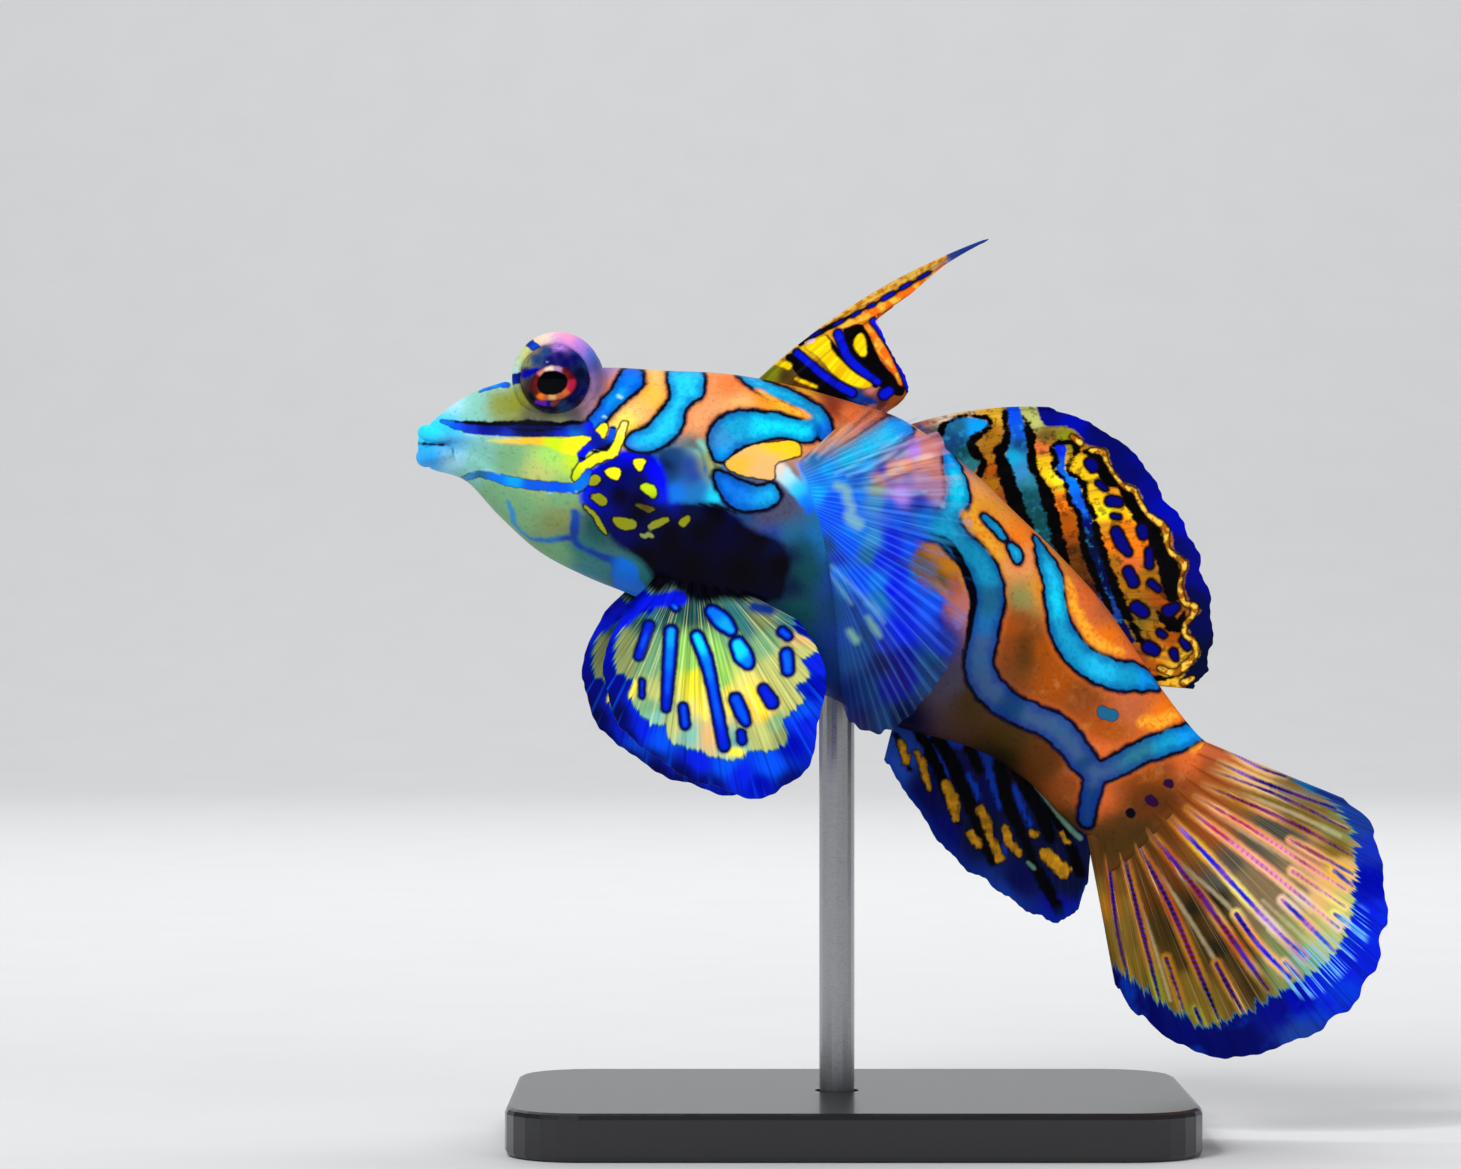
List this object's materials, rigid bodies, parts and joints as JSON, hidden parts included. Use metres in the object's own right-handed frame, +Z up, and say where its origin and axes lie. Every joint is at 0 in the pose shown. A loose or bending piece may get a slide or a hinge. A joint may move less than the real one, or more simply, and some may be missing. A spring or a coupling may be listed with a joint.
{
  "type": "mandarinfish display model",
  "caption": "Still life-size mandarinfish with spread fins and a curved body, held over a flat base by one upright rod.",
  "frame": {"origin": "centre of the base's underside, on the surface that the model stands on", "axes": "+X from the snout to the tail, +Y to the right flank, so that the left flank of the picture faces -Y, +Z up"},
  "size_m": [0.0662, 0.03, 0.0613],
  "materials": {
    "head_skin": "smooth wet skin, green and turquoise with blue lines",
    "lip_skin": "smooth wet skin, cyan lips over a pale green chin",
    "flank_skin": "smooth wet skin, orange with blue bands edged in black",
    "eye": "clear gloss over navy with a red ring",
    "gold_fin": "membrane with raised rays, orange with dark blue bands",
    "blue_fin": "membrane with raised rays, blue with yellow-green and ochre marks",
    "tail_membrane": "membrane with raised rays, orange and olive with a blue margin",
    "clear_fin": "see-through blue membrane with fine rays",
    "base_black": "satin black",
    "rod_steel": "brushed"
  },
  "bodies": {
    "root": {"head": "head_skin", "jaw": "lip_skin", "trunk": "flank_skin", "tail_stalk": "flank_skin", "eye_left": "eye", "eye_right": "eye", "dorsal_fin_first": "gold_fin", "dorsal_fin_second": "gold_fin", "anal_fin": "blue_fin", "tail_fin": "tail_membrane", "pectoral_fin_left": "clear_fin", "pectoral_fin_right": "clear_fin", "pelvic_fin_left": "blue_fin", "pelvic_fin_right": "blue_fin", "stand_base": "base_black", "stand_rod": "rod_steel"}
  },
  "joints": []
}
